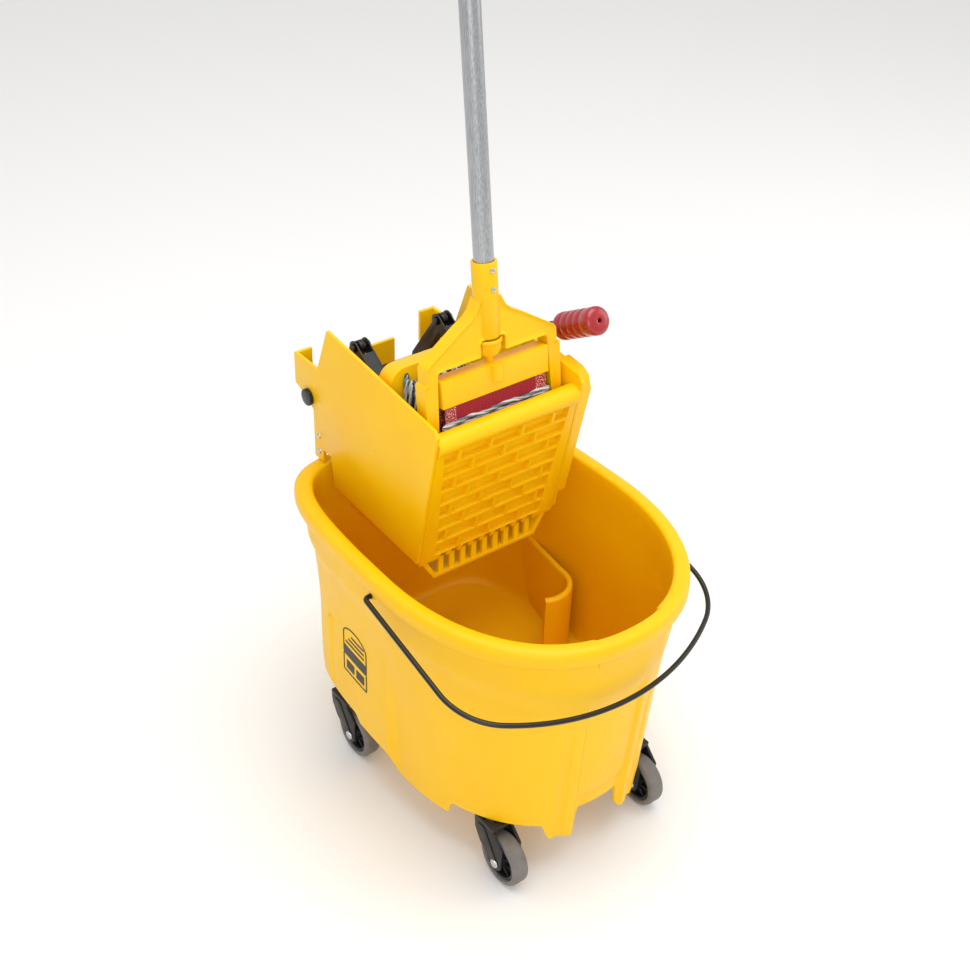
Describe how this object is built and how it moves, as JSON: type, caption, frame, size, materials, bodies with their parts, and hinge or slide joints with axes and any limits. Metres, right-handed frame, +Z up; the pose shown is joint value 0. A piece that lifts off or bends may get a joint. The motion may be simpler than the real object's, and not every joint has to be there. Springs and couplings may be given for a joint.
{
  "type": "mop bucket with side-press wringer and mop",
  "caption": "Oval wheeled mop bucket with a rim-hung side-press wringer worked by a lever and crank links, holding a wet mop with a screw clamp on a long tube handle.",
  "frame": {"origin": "on the floor, below the middle of the whole object's box (30 mm behind the middle of the bucket)", "axes": "+X to the lever side, -Y towards the pour spout, +Y towards the wringer, +Z up along the mop handle"},
  "size_m": [0.4224, 0.584, 1.9695],
  "materials": {
    "bucket_plastic": "satin",
    "wringer_plastic": "satin",
    "clamp_plastic": "satin",
    "bail_wire": "satin",
    "black_steel": "satin",
    "black_plastic": "matte",
    "label_print": "matte",
    "caster_black": "satin",
    "tread_grey": "matte",
    "zinc_screws": "brushed",
    "bush_nylon": "matte",
    "grip_vinyl": "satin",
    "handle_aluminium": "satin",
    "headband_mesh": "mesh",
    "mop_yarn": "looped"
  },
  "bodies": {
    "bucket": {"bucket_body": "bucket_plastic", "bail_ears": "bucket_plastic", "side_label": "label_print", "caster_stem_fl": "zinc_screws", "caster_stem_fr": "zinc_screws", "caster_stem_bl": "zinc_screws", "caster_stem_br": "zinc_screws"},
    "bail": {"bail": "bail_wire"},
    "fork_fl": {"caster_fork_fl": "caster_black", "caster_axle_fl": "zinc_screws"},
    "wheel_fl": {"caster_hub_fl": "caster_black", "caster_tread_fl": "tread_grey"},
    "fork_fr": {"caster_fork_fr": "caster_black", "caster_axle_fr": "zinc_screws"},
    "wheel_fr": {"caster_hub_fr": "caster_black", "caster_tread_fr": "tread_grey"},
    "fork_bl": {"caster_fork_bl": "caster_black", "caster_axle_bl": "zinc_screws"},
    "wheel_bl": {"caster_hub_bl": "caster_black", "caster_tread_bl": "tread_grey"},
    "fork_br": {"caster_fork_br": "caster_black", "caster_axle_br": "zinc_screws"},
    "wheel_br": {"caster_hub_br": "caster_black", "caster_tread_br": "tread_grey"},
    "wringer": {"panel_left": "wringer_plastic", "panel_right": "wringer_plastic", "front_grille": "wringer_plastic", "wringer_floor": "wringer_plastic", "rear_wall": "wringer_plastic", "guide_rails": "wringer_plastic", "shaft_bushes": "bush_nylon", "wringer_screws": "zinc_screws"},
    "lever": {"crank_shaft": "black_steel", "crank_arms": "black_steel", "crank_pins": "black_steel", "shaft_cap": "black_plastic", "lever_hub": "black_steel", "lever_tube": "black_steel", "lever_grip": "grip_vinyl"},
    "press": {"press_plate": "wringer_plastic"},
    "links": {"press_links": "black_steel", "link_pins": "zinc_screws"},
    "mop": {"mop_tube": "handle_aluminium", "mop_cap": "clamp_plastic", "mop_yoke": "clamp_plastic", "socket_screws": "zinc_screws", "headband": "headband_mesh", "mop_yarn": "mop_yarn"},
    "nut": {"thumb_nut": "clamp_plastic"},
    "clamp": {"clamp_bar": "clamp_plastic"}
  },
  "joints": [
    {"name": "bail_swing", "type": "hinge", "parent": "bucket", "child": "bail", "pos_m": [0, -0.013, 0.393], "axis": [-1, 0, 0], "range_deg": [0, 75]},
    {"name": "swivel_fl", "type": "hinge", "parent": "bucket", "child": "fork_fl", "pos_m": [-0.121, -0.176, 0.094], "axis": [0, 0, 1], "continuous": true},
    {"name": "roll_fl", "type": "hinge", "parent": "fork_fl", "child": "wheel_fl", "pos_m": [-0.121, -0.206, 0.038], "axis": [1, 0, 0], "continuous": true},
    {"name": "swivel_fr", "type": "hinge", "parent": "bucket", "child": "fork_fr", "pos_m": [0.121, -0.176, 0.094], "axis": [0, 0, 1], "continuous": true},
    {"name": "roll_fr", "type": "hinge", "parent": "fork_fr", "child": "wheel_fr", "pos_m": [0.121, -0.206, 0.038], "axis": [1, 0, 0], "continuous": true},
    {"name": "swivel_bl", "type": "hinge", "parent": "bucket", "child": "fork_bl", "pos_m": [-0.147, 0.134, 0.094], "axis": [0, 0, 1], "continuous": true},
    {"name": "roll_bl", "type": "hinge", "parent": "fork_bl", "child": "wheel_bl", "pos_m": [-0.147, 0.104, 0.038], "axis": [1, 0, 0], "continuous": true},
    {"name": "swivel_br", "type": "hinge", "parent": "bucket", "child": "fork_br", "pos_m": [0.147, 0.134, 0.094], "axis": [0, 0, 1], "continuous": true},
    {"name": "roll_br", "type": "hinge", "parent": "fork_br", "child": "wheel_br", "pos_m": [0.147, 0.104, 0.038], "axis": [1, 0, 0], "continuous": true},
    {"name": "wringer_lift", "type": "slide", "parent": "bucket", "child": "wringer", "axis": [0, 0, 1], "range_m": [0, 0.15]},
    {"name": "lever_swing", "type": "hinge", "parent": "wringer", "child": "lever", "pos_m": [0, 0.256, 0.519], "axis": [-1, 0, 0], "range_deg": [0, 60]},
    {"name": "press_slide", "type": "slide", "parent": "wringer", "child": "press", "axis": [0, 1, 0], "range_m": [0, 0.102]},
    {"name": "link_turn", "type": "hinge", "parent": "lever", "child": "links", "pos_m": [0, 0.20375, 0.60426], "axis": [-1, 0, 0], "range_deg": [-61.6, 0]},
    {"name": "mop_lift", "type": "slide", "parent": "wringer", "child": "mop", "axis": [0, 0.1305, 0.9914], "range_m": [0, 0.4]},
    {"name": "nut_turn", "type": "hinge", "parent": "mop", "child": "nut", "pos_m": [0, 0.01629, 0.66056], "axis": [0, 0.1305, 0.9914], "range_deg": [0, 960]},
    {"name": "clamp_slide", "type": "slide", "parent": "mop", "child": "clamp", "axis": [0, 0.1305, 0.9914], "range_m": [0, 0.008]}
  ],
  "couplings": [
    {"joint": "press_slide", "follows": "lever_swing", "m_per_rad": 0.0972},
    {"joint": "link_turn", "follows": "lever_swing", "ratio": -1.025},
    {"joint": "nut_turn", "follows": "clamp_slide", "rad_per_m": 2094.4}
  ]
}
